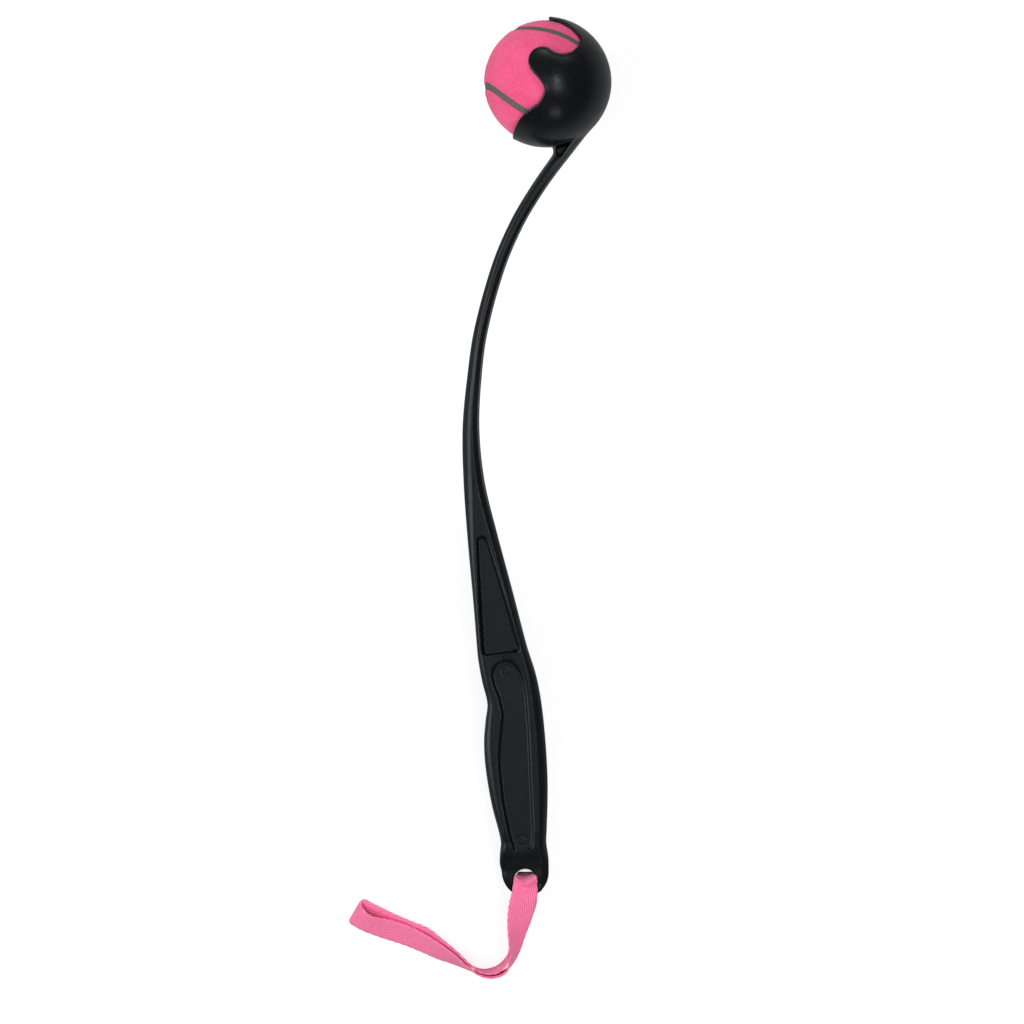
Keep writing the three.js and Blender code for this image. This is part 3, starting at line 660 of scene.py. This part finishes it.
def felt_panel(name, ways, faces, gaps, side, material):
    """One felt panel: its edge rounds over and tucks down beside the seam."""
    past = np.maximum(gaps * side - SEAM_WIDTH / 2 + FELT_TUCK, 0)
    edge = FELT_EDGE * (1 - np.sqrt(1 - (1 - np.minimum(past / FELT_EDGE, 1)) ** 2))
    radius = BALL_RADIUS - np.minimum(edge, FELT_DROP) + nap(ways)
    kept = faces[(gaps[faces] * side > FELT_LEAST_GAP).all(1)]
    used, order = np.unique(kept, return_inverse=True)
    points = to_row(ways[used] * radius[used, None])
    piece = new_mesh(name, points, order.reshape(-1, 4), material, "ball")
    weld(piece)
    return piece


def weld(piece):
    """Joins the points that lie together where the ball's six squares meet."""
    mesh = piece.data
    shape = bmesh.new()
    shape.from_mesh(mesh)
    bmesh.ops.remove_doubles(shape, verts=shape.verts, dist=FELT_WELD * MM)
    shape.to_mesh(mesh)
    shape.free()


def seam_band(name, line, material):
    """The rubber line between the panels, a little lower than the felt, with a crown."""
    ahead = np.roll(line, -1, 0) - np.roll(line, 1, 0)
    side = np.cross(ahead, line)
    side /= np.linalg.norm(side, axis=1, keepdims=True)
    columns = []
    for column in range(SEAM_COLUMNS):
        share = column / (SEAM_COLUMNS - 1) * 2 - 1
        radius = BALL_RADIUS - SEAM_RECESS - SEAM_CROWN * share ** 2
        columns.append(line * radius + side * share * (SEAM_WIDTH / 2 + SEAM_OVERLAP))
    points = np.stack(columns, 1)
    faces = []
    for row in range(len(line)):
        start = row * SEAM_COLUMNS
        following = (row + 1) % len(line) * SEAM_COLUMNS
        for column in range(SEAM_COLUMNS - 1):
            faces.append((start + column, start + column + 1,
                          following + column + 1, following + column))
    return new_mesh(name, to_row(points.reshape(-1, 3)), faces, material, "ball")


def tape_half(stop):
    """Half of the tape's width at one stop, as the way from its middle to its upper edge."""
    heading, lean, share = stop[3] * DEGREE, stop[4] * DEGREE, stop[5]
    flat = math.cos(lean)
    way = np.array([flat * math.cos(heading), flat * math.sin(heading), math.sin(lean)])
    return way * share * TAPE_WIDTH / 2


def tape_middle(stop):
    """The middle of the tape at one stop: its lower edge rests on the floor, apart from its lift."""
    x, y, lift, _, lean = stop[:5]
    rest = tape_half(stop)[2] + abs(math.cos(lean * DEGREE)) * TAPE_THICKNESS / 2
    return np.array([x * TAPE_WIDTH, y * TAPE_WIDTH, lift * TAPE_WIDTH + rest])


def tape_frame():
    """The tape's middle line, its half width as a vector and its face's way, row by row."""
    middle = closed_curve([tape_middle(stop) for stop in TAPE_STOPS], TAPE_STEPS)
    half = closed_curve([tape_half(stop) for stop in TAPE_STOPS], TAPE_STEPS)
    ahead = np.roll(middle, -1, 0) - np.roll(middle, 1, 0)
    out = np.cross(half, ahead)
    out /= np.linalg.norm(out, axis=1, keepdims=True)
    return middle, half, out


def tape_piece(name, points, faces, material, uvs=None):
    """A piece that rides on the strap, from points in millimetres round the eye's place on the floor."""
    place = np.array([hinge["pos_m"][0], hinge["pos_m"][1], 0])
    piece = new_mesh(name, points.reshape(-1, 3) * MM + place, faces, material, "strap")
    if uvs is not None:
        layer = piece.data.uv_layers.new(name="weave")
        layer.data.foreach_set("uv", uvs.ravel())
    return piece


def tape_band(name, material):
    """The wrist tape as one closed band with rounded, scalloped edges, and its length in metres."""
    middle, half, out = tape_frame()
    curl = closed_curve([(stop[6] * TAPE_WIDTH,) for stop in TAPE_STOPS], TAPE_STEPS)
    walk = np.linalg.norm(np.roll(middle, -1, 0) - middle, axis=1)
    along = np.concatenate([[0], np.cumsum(walk)])
    width = np.linalg.norm(half, axis=1)
    across = [column / TAPE_COLUMNS * 2 - 1 for column in range(TAPE_COLUMNS + 1)]
    ring = [(share, 1) for share in across] + [(share, -1) for share in across[::-1]]
    points = []
    for share, face in ring:
        scallop = TAPE_SCALLOP / width * np.sin(along[:-1] * 2 * math.pi / TAPE_SCALLOP_PITCH + share)
        thick = TAPE_THICKNESS / 2 * (1 - abs(share) ** 10 * TAPE_EDGE_THINNING)
        reach = share * (1 + scallop * abs(share) ** 4)
        back = curl * (share * share - TAPE_CURL_BALANCE) * np.array([0, 1, 0])
        points.append(middle + half * reach[:, None] + back + out * face * thick)
    points = np.stack(points, 1)
    points[..., 2] = np.maximum(points[..., 2], TAPE_LEAST_HEIGHT)
    count = len(ring)
    faces, uvs = [], []
    for row in range(TAPE_STEPS):
        following = (row + 1) % TAPE_STEPS
        for column in range(count):
            beside = (column + 1) % count
            faces.append((row * count + column, following * count + column,
                          following * count + beside, row * count + beside))
            for u, v in ((row, column), (row + 1, column), (row + 1, beside), (row, beside)):
                uvs.append((along[u], ring[v][0] * TAPE_WIDTH / 2))
    piece = tape_piece(name, points, faces, material, np.array(uvs) * WEAVE_SCALE)
    return piece, along[-1] * MM


def lap_rows():
    """The rows of the under strand, between the turn and the eye, that the sewn lap covers."""
    middle, half, out = tape_frame()
    # The under strand lies in the last fifth of the rows
    rows = np.arange(TAPE_STEPS * 4 // 5, TAPE_STEPS)
    y = middle[rows, 1]
    rows = rows[(y > LAP_START * TAPE_WIDTH) & (y < LAP_END * TAPE_WIDTH)]
    out = out[rows] * np.sign(out[rows, 2:])
    return middle[rows], half[rows], out


def lap_strip(name, material):
    """The tape's end, laid over its start on the under strand, as one closed flat solid."""
    middle, half, out = lap_rows()
    columns = np.linspace(-1, 1, TAPE_COLUMNS + 1) * LAP_WIDTH_SHARE
    up = out[:, None] * TAPE_THICKNESS
    low = middle[:, None] + half[:, None] * columns[:, None] + up * LAP_REST_SHARE
    points = np.stack([low, low + up * LAP_THICKNESS_SHARE])
    walk = np.linalg.norm(np.diff(middle, axis=0), axis=1)
    along = np.concatenate([[0], np.cumsum(walk)])
    uvs = np.stack(np.meshgrid(along, columns * TAPE_WIDTH / 2, indexing="ij"), -1).reshape(-1, 2)
    at = np.arange(points[..., 0].size).reshape(points.shape[:3])
    cells = at[1, :-1, :-1], at[1, 1:, :-1], at[1, 1:, 1:], at[1, :-1, 1:]
    top = np.stack(cells, -1).reshape(-1, 4)
    under = top[:, ::-1] - at[1, 0, 0]
    edges = at[:, :, 0], at[:, -1, 1:], at[:, ::-1, -1][:, 1:], at[:, 0, ::-1][:, 1:-1]
    ring = np.concatenate(edges, 1)
    ahead = np.roll(ring, -1, 1)
    sides = np.stack([ring[0], ahead[0], ahead[1], ring[1]], -1)
    faces = np.concatenate([top, under, sides])
    uvs = uvs[faces.ravel() % len(uvs)] * WEAVE_SCALE
    return tape_piece(name, points, faces, material, uvs)


def stitch_rings(start, end, number, count):
    """One stitch of a sewn line: its rings as places on the lap, each with a radius."""
    return [(start + (end - start) * (number + run) / count, radius) for run, radius in STITCH_RINGS]


def lap_stitches(name, material):
    """Thread stitches over the lap: a box and its two diagonals, each stitch a small tapered tube."""
    middle, half, out = lap_rows()
    angles = np.linspace(0, 2 * math.pi, STITCH_SIDES, endpoint=False)
    corners = [(-1, -1), (1, -1), (1, 1), (-1, 1), (-1, -1), (1, 1), (1, -1), (-1, 1)]
    points, faces = [], []
    for start, end in zip(corners, corners[1:]):
        start, end = np.array(start) * LAP_SEWN, np.array(end) * LAP_SEWN
        count = STITCHES_ON_DIAGONAL if abs(start - end).min() > 0 else STITCHES_ON_SIDE
        for number in range(count):
            first = len(points)
            for place, radius in stitch_rings(start, end, number, count):
                row = int((place[0] + 1) / 2 * (len(middle) - 1))
                centre = middle[row] + half[row] * place[1] + out[row] * TAPE_THICKNESS * LAP_TOP_SHARE
                side = half[row] / np.linalg.norm(half[row])
                ahead = np.cross(out[row], side)
                way = (end - start) @ np.stack([ahead * len(middle) / STITCH_ROWS, side])
                side = np.cross(way, out[row])
                side /= np.linalg.norm(side)
                for angle in angles:
                    points.append(centre + radius * (side * math.cos(angle) + out[row] * math.sin(angle)))
            last = len(points)
            for corner in range(first, last - STITCH_SIDES, STITCH_SIDES):
                beyond = corner + STITCH_SIDES
                for step in range(STITCH_SIDES):
                    beside = (step + 1) % STITCH_SIDES
                    faces.append((corner + step, corner + beside, beyond + beside, beyond + step))
            faces.append(tuple(range(first + STITCH_SIDES - 1, first - 1, -1)))
            faces.append(tuple(range(last - STITCH_SIDES, last)))
    return tape_piece(name, np.array(points), faces, material)


class Nodes:
    """Short calls for a material's node tree."""

    def __init__(self, name, **values):
        self.material = bpy.data.materials.new(name)
        self.material.use_nodes = True
        self.tree = self.material.node_tree
        self.shader = self.tree.nodes["Principled BSDF"]
        for key, value in values.items():
            self.shader.inputs[key.replace("_", " ")].default_value = value

    def node(self, kind, **values):
        """A new node of a kind, with its settings."""
        made = self.tree.nodes.new(kind)
        for key, value in values.items():
            setattr(made, key, value)
        return made

    def link(self, source, target):
        self.tree.links.new(source, target)

    def math(self, operation, first, second=None):
        """One step of arithmetic on one or two values, each a number or another node's output."""
        made = self.node("ShaderNodeMath", operation=operation)
        for socket, value in zip(made.inputs, (first, second)):
            if isinstance(value, (int, float)):
                socket.default_value = value
            elif value is not None:
                self.link(value, socket)
        return made.outputs[0]

    def noise(self, scale, detail):
        """Noise in the piece's own metres, so that it stays put when the piece moves."""
        made = self.node("ShaderNodeTexNoise")
        made.inputs["Scale"].default_value = scale
        made.inputs["Detail"].default_value = detail
        self.link(self.node("ShaderNodeTexCoord").outputs["Object"], made.inputs["Vector"])
        return made.outputs["Fac"]

    def ramp(self, value, low, high, colours):
        """A blend of colours as the value goes from low to high."""
        made = self.node("ShaderNodeValToRGB")
        self.link(value, made.inputs["Fac"])
        stops = made.color_ramp.elements
        stops[0].position, stops[1].position = low, high
        for stop, colour in zip(stops, colours):
            stop.color = (*colour, 1)
        return made.outputs["Color"]

    def fade(self, value, start, end, first, last):
        """A level that goes from first to last as the value goes from start to end."""
        made = self.node("ShaderNodeMapRange")
        self.link(value, made.inputs["Value"])
        for name, number in (("From Min", start), ("From Max", end), ("To Min", first), ("To Max", last)):
            made.inputs[name].default_value = number
        return made.outputs[0]

    def bump(self, height, strength, distance, below=None):
        """A surface's normal with a height laid on it, and on another bump below where there is one."""
        made = self.node("ShaderNodeBump")
        made.inputs["Strength"].default_value = strength
        made.inputs["Distance"].default_value = distance
        self.link(height, made.inputs["Height"])
        if below is not None:
            self.link(below, made.inputs["Normal"])
        return made.outputs["Normal"]


def plastic():
    """Black moulded plastic: fine spark grain, a faint flow cloud and light scuffs."""
    made = Nodes("moulded_plastic", Roughness=0.26)
    made.shader.inputs["Specular Tint"].default_value = (0.84, 0.96, 1, 1)
    made.shader.inputs["Specular IOR Level"].default_value = 0.28
    cloud = made.noise(28, 4)
    colour = made.ramp(cloud, 0.35, 0.7, [(0.0034, 0.0039, 0.0042), (0.0048, 0.0056, 0.006)])
    made.link(colour, made.shader.inputs["Base Color"])
    scuffs = made.noise(210, 6)
    shine = made.ramp(scuffs, 0.4, 0.72, [(0.25, 0.25, 0.25), (0.34, 0.34, 0.34)])
    made.link(shine, made.shader.inputs["Roughness"])
    grain = made.noise(3200, 2)
    made.link(made.bump(grain, 0.07, 0.0002), made.shader.inputs["Normal"])
    return made.material


def felt():
    """Dyed needle felt: matted fibres, small pale flecks and a soft sheen."""
    made = Nodes("dyed_felt", Roughness=0.95)
    made.shader.inputs["Sheen Weight"].default_value = 0.42
    made.shader.inputs["Sheen Roughness"].default_value = 0.4
    made.shader.inputs["Sheen Tint"].default_value = (1, 0.72, 0.82, 1)
    made.shader.inputs["Specular IOR Level"].default_value = 0.2
    mat = made.noise(1500, 5)
    patch = made.noise(90, 3)
    mixed = made.math("ADD", made.math("MULTIPLY", mat, 0.7), made.math("MULTIPLY", patch, 0.3))
    colour = made.ramp(mixed, 0.39, 0.61, [(0.78, 0.085, 0.208), (0.94, 0.125, 0.288)])
    # Loose pale fibres lie here and there on the dyed ones
    fleck = made.ramp(made.noise(900, 2), 0.64, 0.74, [(0, 0, 0), (0.35, 0.35, 0.35)])
    mix = made.node("ShaderNodeMix", data_type="RGBA")
    made.link(fleck, mix.inputs["Factor"])
    made.link(colour, mix.inputs["A"])
    mix.inputs["B"].default_value = (0.95, 0.3, 0.45, 1)
    made.link(mix.outputs["Result"], made.shader.inputs["Base Color"])
    made.link(made.bump(mat, 0.5, 0.0005), made.shader.inputs["Normal"])
    return made.material


def seam_rubber():
    """Grey seam rubber with a fine, uneven speckle."""
    made = Nodes("seam_rubber", Roughness=0.8)
    speck = made.noise(1300, 4)
    colour = made.ramp(speck, 0.35, 0.68, [(0.085, 0.078, 0.074), (0.145, 0.134, 0.126)])
    made.link(colour, made.shader.inputs["Base Color"])
    made.link(made.bump(speck, 0.4, 0.0004), made.shader.inputs["Normal"])
    return made.material


def core_rubber():
    """Dark core rubber with a matt, lightly pitted skin."""
    made = Nodes("core_rubber", Roughness=0.75)
    pits = made.noise(900, 3)
    colour = made.ramp(pits, 0.35, 0.7, [(0.03, 0.028, 0.027), (0.055, 0.052, 0.05)])
    made.link(colour, made.shader.inputs["Base Color"])
    made.link(made.bump(pits, 0.3, 0.0003), made.shader.inputs["Normal"])
    return made.material


def weave():
    """Dyed herringbone tape: twill ribs that meet in a point along the middle, with painted shade in the
    ribs' grooves.
    """
    made = Nodes("herringbone_tape", Roughness=0.9)
    made.shader.inputs["Sheen Weight"].default_value = 0.2
    made.shader.inputs["Sheen Roughness"].default_value = 0.45
    made.shader.inputs["Specular IOR Level"].default_value = 0.2
    place = made.node("ShaderNodeUVMap", uv_map="weave").outputs["UV"]
    split = made.node("ShaderNodeSeparateXYZ")
    made.link(place, split.inputs[0])
    along, across = split.outputs[0], split.outputs[1]
    reach = made.math("ABSOLUTE", across)
    # A rib's lines lie at a slope to the tape's length and are mirrored at its middle
    slope = made.math("MULTIPLY", along, math.tan(RIB_SLOPE))
    turns = 2 * math.pi / WEAVE_SCALE
    phase = made.math("MULTIPLY", made.math("SUBTRACT", reach, slope), turns / RIB_PITCH)
    rib = made.math("ADD", made.math("MULTIPLY", made.math("SINE", phase), 0.5), 0.5)
    thread_phase = made.math("MULTIPLY", along, turns / THREAD_PITCH)
    thread = made.math("ADD", made.math("MULTIPLY", made.math("SINE", thread_phase), 0.5), 0.5)
    cloth = made.math("ADD", made.math("MULTIPLY", rib, 0.75), made.math("MULTIPLY", thread, 0.25))
    fuzz = made.noise(2600, 3)
    # The ramp paints the ribs' grooves darker and their crests lighter: painted shade laid over the ribs'
    # bump. The fuzz's share is the thread's own uneven tone.
    shade = made.math("ADD", made.math("MULTIPLY", cloth, 0.7), made.math("MULTIPLY", fuzz, 0.3))
    colour = made.ramp(shade, 0.2, 0.75, [(0.84, 0.105, 0.255), (1, 0.27, 0.48)])
    made.link(colour, made.shader.inputs["Base Color"])
    fine = made.bump(fuzz, 0.25, 0.0003)
    made.link(made.bump(cloth, 0.45, 0.0004, fine), made.shader.inputs["Normal"])
    return made.material


def thread():
    """Pink polyester sewing thread with a fine twist."""
    made = Nodes("sewing_thread", Roughness=0.55)
    twist = made.noise(2400, 2)
    colour = made.ramp(twist, 0.35, 0.65, [(0.7, 0.09, 0.24), (0.95, 0.2, 0.4)])
    made.link(colour, made.shader.inputs["Base Color"])
    made.link(made.bump(twist, 0.4, 0.0002), made.shader.inputs["Normal"])
    return made.material


def background(name, tint):
    """A pale matt surface that shows white to the camera and keeps a soft shadow on it."""
    made = Nodes(name, Roughness=0.9)
    dust = made.noise(60, 4)
    colour = made.ramp(dust, 0.3, 0.7, [tint, tuple(min(1, part * 1.02) for part in tint)])
    made.link(colour, made.shader.inputs["Base Color"])
    made.shader.inputs["Specular IOR Level"].default_value = 0
    made.shader.inputs["Emission Color"].default_value = (1, 1, 1, 1)
    path = made.node("ShaderNodeLightPath").outputs
    mirrored = made.math("MAXIMUM", path["Is Glossy Ray"], path["Is Transmission Ray"])
    # Far from the lamps the table needs more of its own light to stay white, and only the part of
    # it near the object is mirrored
    place = made.node("ShaderNodeTexCoord").outputs["Object"]
    far = made.node("ShaderNodeVectorMath", operation="LENGTH")
    made.link(place, far.inputs[0])
    distance = far.outputs["Value"]
    seen = made.math("MULTIPLY", path["Is Camera Ray"], made.fade(distance, 0.6, 1.6, 0.76, 1))
    mirrored = made.math("MULTIPLY", mirrored, made.fade(distance, 0.2, 0.5, 0.1, 0))
    made.link(made.math("MAXIMUM", seen, mirrored), made.shader.inputs["Emission Strength"])
    return made.material


def floor():
    """The white table, a hair below the floor's plane."""
    shape = bmesh.new()
    bmesh.ops.create_grid(shape, x_segments=TABLE_CELLS, y_segments=TABLE_CELLS, size=TABLE_REACH)
    mesh = bpy.data.meshes.new("table_top")
    shape.to_mesh(mesh)
    shape.free()
    mesh.materials.append(background("table_white", (0.34, 0.34, 0.34)))
    made = bpy.data.objects.new("table_top", mesh)
    made.location.z = TABLE_TOP
    bpy.context.scene.collection.objects.link(made)


def softbox(name, spot, size, power, mirrored):
    """A soft lamp that faces the row frame's origin, and that gloss may mirror."""
    lamp = bpy.data.lights.new(name, "AREA")
    lamp.shape = "RECTANGLE"
    lamp.size, lamp.size_y = size
    lamp.energy = power
    made = bpy.data.objects.new(name, lamp)
    made.location = Vector(spot)
    made.rotation_euler = (-Vector(spot)).to_track_quat("-Z", "Y").to_euler()
    made.visible_glossy = mirrored
    bpy.context.scene.collection.objects.link(made)


def studio():
    """The lamps, and a room that is white to the camera and dim to everything else."""
    for lamp in LAMPS:
        softbox(*lamp)
    world = bpy.data.worlds.new("room")
    world.use_nodes = True
    tree = world.node_tree
    shown = tree.nodes["Background"]
    shown.inputs["Color"].default_value = (1, 1, 1, 1)
    path = tree.nodes.new("ShaderNodeLightPath")
    level = tree.nodes.new("ShaderNodeMapRange")
    level.inputs["To Min"].default_value = ROOM_LEVEL
    level.inputs["To Max"].default_value = 1
    tree.links.new(path.outputs["Is Camera Ray"], level.inputs["Value"])
    tree.links.new(level.outputs[0], shown.inputs["Strength"])
    bpy.context.scene.world = world


def camera():
    """A flat view from straight above, framed as the photograph is."""
    lens = bpy.data.cameras.new("camera")
    lens.type = "ORTHO"
    lens.ortho_scale = FRAME_WIDTH
    made = bpy.data.objects.new("camera", lens)
    made.location = (*FRAME_MIDDLE, CAMERA_HEIGHT)
    bpy.context.scene.collection.objects.link(made)
    bpy.context.scene.camera = made


def dress_moulding():
    """The one moulding: arm, cup, web, grip and eye."""
    body = new_mesh("arm_moulding", *moulding_mesh(), plastic(), "thrower")
    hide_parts("thrower_body")


def dress_ball():
    """The two felt panels, the seam between them, and rubber on the core's halves."""
    ways, faces = felt_ways()
    line = seam_line()
    gaps = seam_distance(ways, line)
    fuzz = felt()
    for letter, side in (("a", 1), ("b", -1)):
        panel = felt_panel("felt_" + letter, ways, faces, gaps, side, fuzz)
        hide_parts("ball_felt_panel_" + letter)
    seam = seam_band("seam_line", line, seam_rubber())
    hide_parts("ball_seam")
    rubber = core_rubber()
    for letter in "ab":
        half = frame["nodes"]["ball_core_half_" + letter]
        half.data.materials.clear()
        half.data.materials.append(rubber)


def dress_tape():
    """The wrist tape, the lap that closes its loop, and the stitches in the lap."""
    cloth = weave()
    tape, length = tape_band("tape_loop", cloth)
    lap = lap_strip("tape_lap", cloth)
    sewn = lap_stitches("lap_stitches", thread())
    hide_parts("wrist_tape")


# The moulding's own frame in the row frame, from the strap's hinge in the eye
hinge = next(joint for joint in frame["joints"] if joint["name"] == "strap_swing")
up_way = Vector(hinge["axis"]).normalized()
right_way = Vector((1, 0, 0))
ahead_way = up_way.cross(right_way)
turn = Matrix((right_way, ahead_way, up_way)).transposed()
eye_local = Vector((*(middle_at(1) - (0, EYE_DROP)), 0)) * MM
ball_centre = Vector(hinge["pos_m"]) - turn @ eye_local
own_frame = Matrix.Translation(ball_centre) @ turn.to_4x4() @ Matrix.Scale(MM, 4)

# Read at each point of the cup's block
RIM_MAP = rim_map()

floor()
studio()
camera()
dress_moulding()
dress_ball()
dress_tape()

bpy.context.scene.view_settings.view_transform = "Standard"
